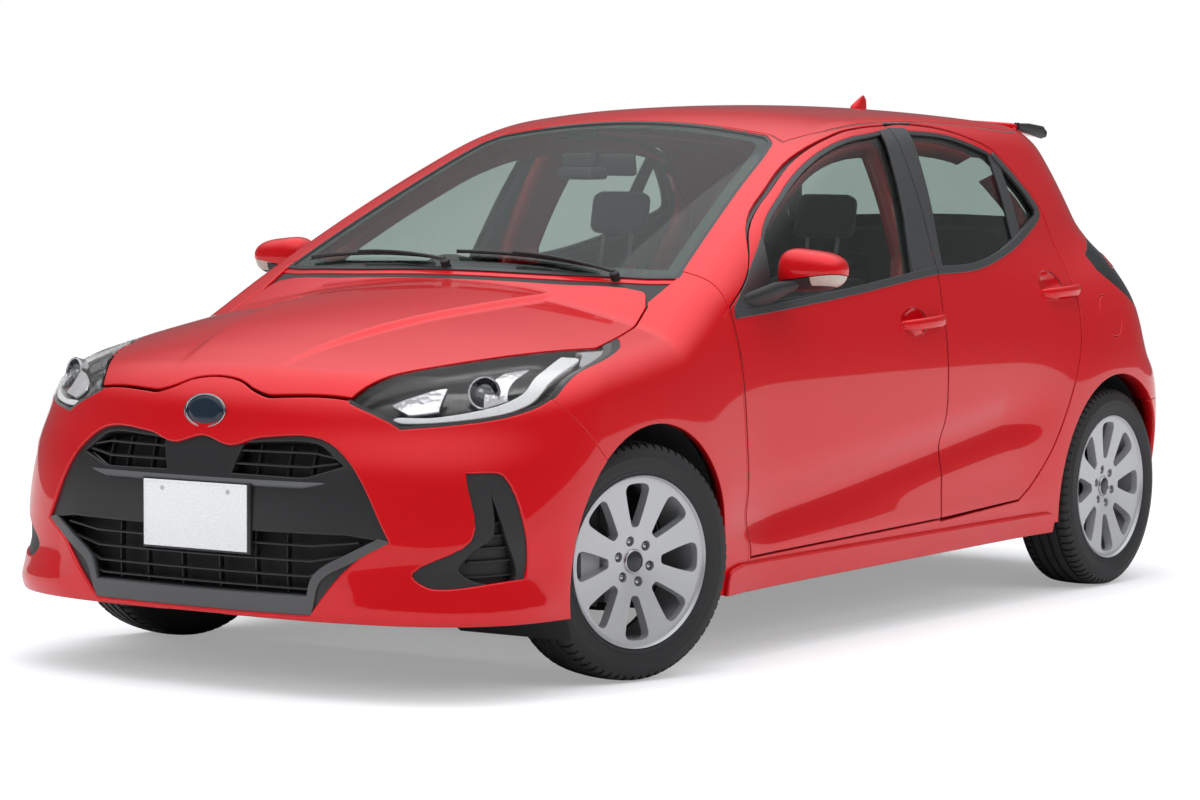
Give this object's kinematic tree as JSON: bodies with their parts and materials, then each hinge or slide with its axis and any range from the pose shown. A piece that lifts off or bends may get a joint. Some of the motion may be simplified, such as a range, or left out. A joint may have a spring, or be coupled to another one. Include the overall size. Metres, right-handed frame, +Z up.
{
  "type": "five-door hatchback car",
  "caption": "Red five-door hatchback car with opening doors, bonnet and hatch, steered front wheels on alloy rims, and a furnished cabin.",
  "frame": {"origin": "middle of the length and width, on the ground under the tyres", "axes": "+Y to the rear of the car, front bumper towards -Y; +X to the car's left; +Z up"},
  "size_m": [1.9788, 3.9333, 1.493],
  "materials": {
    "paint": "gloss",
    "black_plastic": "matt",
    "plate": "satin",
    "lamp_lens": "gloss",
    "lamp_red": "gloss",
    "glass": "gloss",
    "cast_metal": "cast",
    "chassis_black": "satin",
    "floor_metal": "satin",
    "pipe": "satin",
    "tyre_rubber": "matt",
    "alloy": "satin",
    "seat_cloth": "woven"
  },
  "bodies": {
    "root": {"floor_pan": "floor_metal", "body_sides": "paint", "roof_panel": "paint", "front_wings": "paint", "front_bumper": "paint", "grille": "black_plastic", "number_plate": "plate", "headlamps": "lamp_lens", "fog_trims": "black_plastic", "radiator": "cast_metal", "engine": "cast_metal", "windscreen": "glass", "scuttle": "black_plastic", "door_hinges": "chassis_black", "rear_bumper": "paint", "tail_lamps": "lamp_red", "roof_antenna": "paint", "front_suspension": "chassis_black", "rear_axle": "chassis_black", "exhaust": "pipe", "front_seats": "seat_cloth", "rear_seat": "seat_cloth", "dashboard": "black_plastic", "wipers": "black_plastic"},
    "bonnet_lid": {"bonnet": "paint"},
    "front_door_left_leaf": {"front_door_left": "paint", "front_glass_left": "glass", "mirror_left": "paint"},
    "front_door_right_leaf": {"front_door_right": "paint", "front_glass_right": "glass", "mirror_right": "paint"},
    "rear_door_left_leaf": {"rear_door_left": "paint", "rear_glass_left": "glass"},
    "rear_door_right_leaf": {"rear_door_right": "paint", "rear_glass_right": "glass"},
    "hatch": {"tailgate": "paint", "tailgate_glass": "glass", "spoiler": "paint"},
    "flap": {"fuel_flap": "paint"},
    "upright_left": {"knuckle_front_left": "cast_metal"},
    "upright_right": {"knuckle_front_right": "cast_metal"},
    "front_wheel_left": {"tyre_front_left": "tyre_rubber", "wheel_front_left": "alloy"},
    "front_wheel_right": {"tyre_front_right": "tyre_rubber", "wheel_front_right": "alloy"},
    "rear_wheel_left": {"tyre_rear_left": "tyre_rubber", "wheel_rear_left": "alloy"},
    "rear_wheel_right": {"tyre_rear_right": "tyre_rubber", "wheel_rear_right": "alloy"},
    "helm": {"steering_wheel": "black_plastic"}
  },
  "joints": [
    {"name": "steer_left", "type": "hinge", "parent": "root", "child": "upright_left", "pos_m": [0.69, -1.18, 0.303], "axis": [0, 0, 1], "range_deg": [-22, 54]},
    {"name": "steer_right", "type": "hinge", "parent": "root", "child": "upright_right", "pos_m": [-0.69, -1.18, 0.303], "axis": [0, 0, 1], "range_deg": [-22, 54]},
    {"name": "steering_wheel_turn", "type": "hinge", "parent": "root", "child": "helm", "pos_m": [-0.36, -0.35, 0.87], "axis": [0, 0.8988, 0.4384], "range_deg": [-300, 735]},
    {"name": "front_left_spin", "type": "hinge", "parent": "upright_left", "child": "front_wheel_left", "pos_m": [0.73806, -1.19378, 0.303], "axis": [0.9613, -0.2756, 0], "continuous": true},
    {"name": "front_right_spin", "type": "hinge", "parent": "upright_right", "child": "front_wheel_right", "pos_m": [-0.73806, -1.16622, 0.303], "axis": [0.9613, -0.2756, 0], "continuous": true},
    {"name": "rear_left_spin", "type": "hinge", "parent": "root", "child": "rear_wheel_left", "pos_m": [0.74, 1.37, 0.303], "axis": [1, 0, 0], "continuous": true},
    {"name": "rear_right_spin", "type": "hinge", "parent": "root", "child": "rear_wheel_right", "pos_m": [-0.74, 1.37, 0.303], "axis": [1, 0, 0], "continuous": true},
    {"name": "front_door_left_hinge", "type": "hinge", "parent": "root", "child": "front_door_left_leaf", "pos_m": [0.818, -0.698, 0.57], "axis": [0, 0, -1], "range_deg": [0, 62]},
    {"name": "front_door_right_hinge", "type": "hinge", "parent": "root", "child": "front_door_right_leaf", "pos_m": [-0.818, -0.698, 0.57], "axis": [0, 0, 1], "range_deg": [0, 62]},
    {"name": "rear_door_left_hinge", "type": "hinge", "parent": "root", "child": "rear_door_left_leaf", "pos_m": [0.812, 0.376, 0.57], "axis": [0, 0, -1], "range_deg": [0, 65]},
    {"name": "rear_door_right_hinge", "type": "hinge", "parent": "root", "child": "rear_door_right_leaf", "pos_m": [-0.812, 0.376, 0.57], "axis": [0, 0, 1], "range_deg": [0, 65]},
    {"name": "bonnet_hinge", "type": "hinge", "parent": "root", "child": "bonnet_lid", "pos_m": [0, -0.806, 0.992], "axis": [-1, 0, 0], "range_deg": [0, 50]},
    {"name": "hatch_hinge", "type": "hinge", "parent": "root", "child": "hatch", "pos_m": [0, 1.326, 1.437], "axis": [1, 0, 0], "range_deg": [0, 75]},
    {"name": "fuel_flap_hinge", "type": "hinge", "parent": "root", "child": "flap", "pos_m": [0.845, 1.3, 0.826], "axis": [0, 0, -1], "range_deg": [0, 80]}
  ],
  "couplings": [
    {"joint": "steer_right", "follows": "steer_left", "ratio": 1},
    {"joint": "steering_wheel_turn", "follows": "steer_left", "ratio": 13.5}
  ]
}
